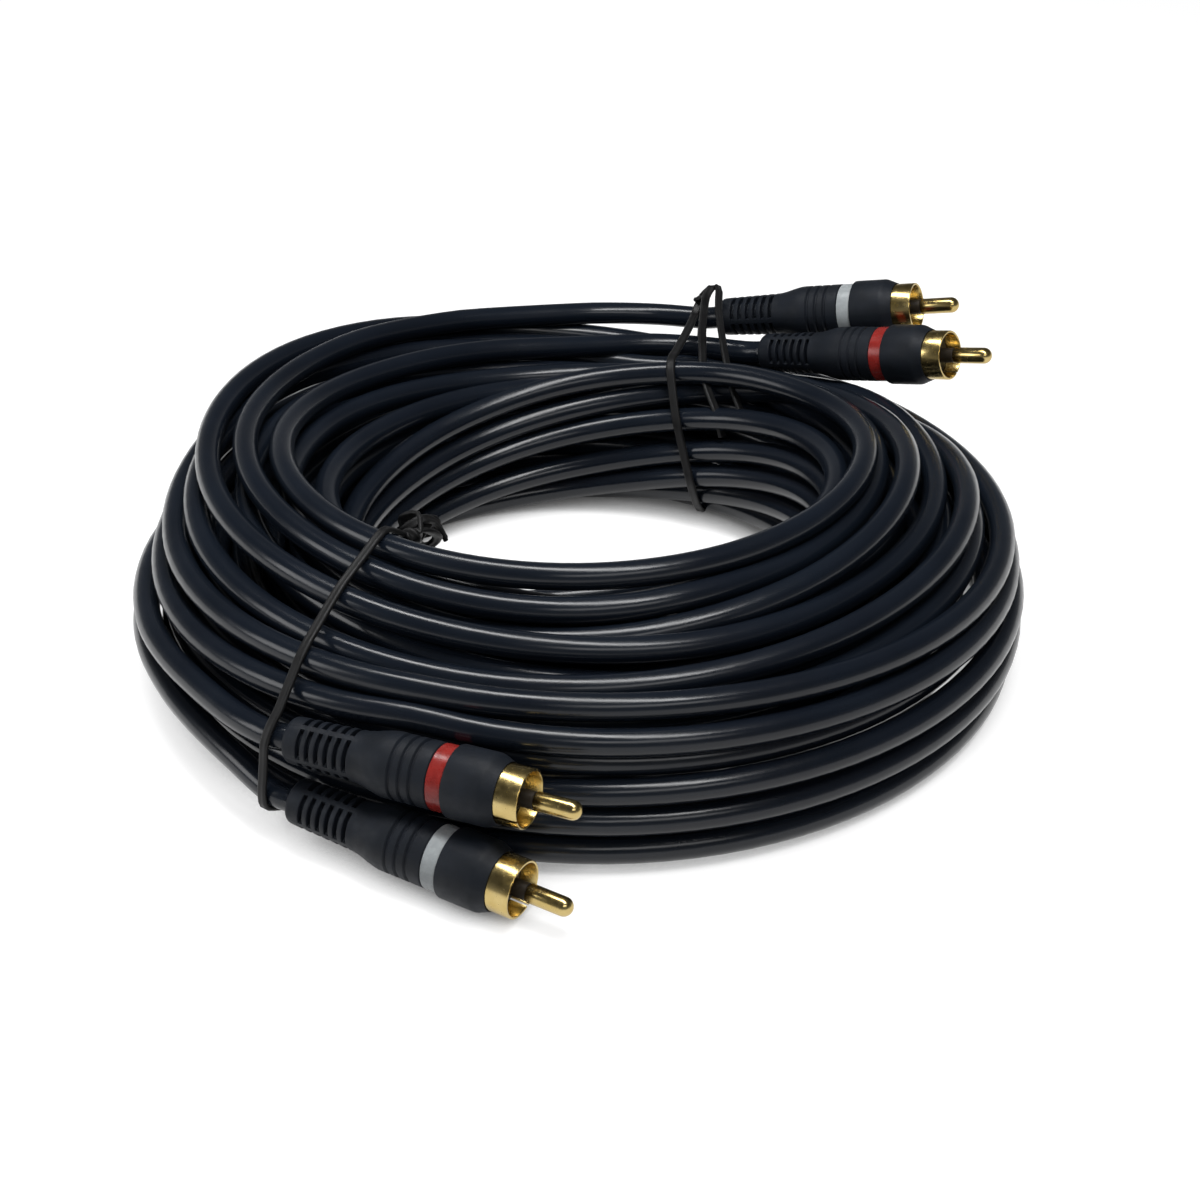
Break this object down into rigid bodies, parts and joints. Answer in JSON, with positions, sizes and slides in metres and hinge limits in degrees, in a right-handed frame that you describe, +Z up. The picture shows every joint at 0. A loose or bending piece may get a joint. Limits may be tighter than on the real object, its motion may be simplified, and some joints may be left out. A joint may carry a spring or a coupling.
{
  "type": "stereo audio cable",
  "caption": "Coiled stereo audio cable: two round cords side by side with moulded phono plugs at both ends, banded red and white, and held in a ring by wire ties.",
  "frame": {"origin": "on the table, under the middle of the whole cable's footprint", "axes": "+Z up out of the coil's hole; +Y from the front pair of plugs to the back pair; +X to the right, the way the plugs point"},
  "size_m": [0.166, 0.1812, 0.0434],
  "materials": {
    "jacket": "satin flexible PVC",
    "mould": "matte moulded PVC",
    "red_band": "glossy",
    "white_band": "glossy",
    "contact": "gold plated, polished",
    "insulator": "moulded",
    "tie": "plastic coated wire"
  },
  "bodies": {
    "root": {"coil": "jacket", "front_red_pin": "contact", "front_red_shell": "contact", "front_red_insulator": "insulator", "front_red_body": "mould", "front_red_band": "red_band", "front_red_cord_end": "jacket", "front_red_lead": "jacket", "front_white_pin": "contact", "front_white_shell": "contact", "front_white_insulator": "insulator", "front_white_body": "mould", "front_white_band": "white_band", "front_white_cord_end": "jacket", "front_white_lead": "jacket", "back_red_pin": "contact", "back_red_shell": "contact", "back_red_insulator": "insulator", "back_red_body": "mould", "back_red_band": "red_band", "back_red_cord_end": "jacket", "back_red_lead": "jacket", "back_white_pin": "contact", "back_white_shell": "contact", "back_white_insulator": "insulator", "back_white_body": "mould", "back_white_band": "white_band", "back_white_cord_end": "jacket", "back_white_lead": "jacket", "front_tie": "tie", "back_tie": "tie"}
  },
  "joints": []
}
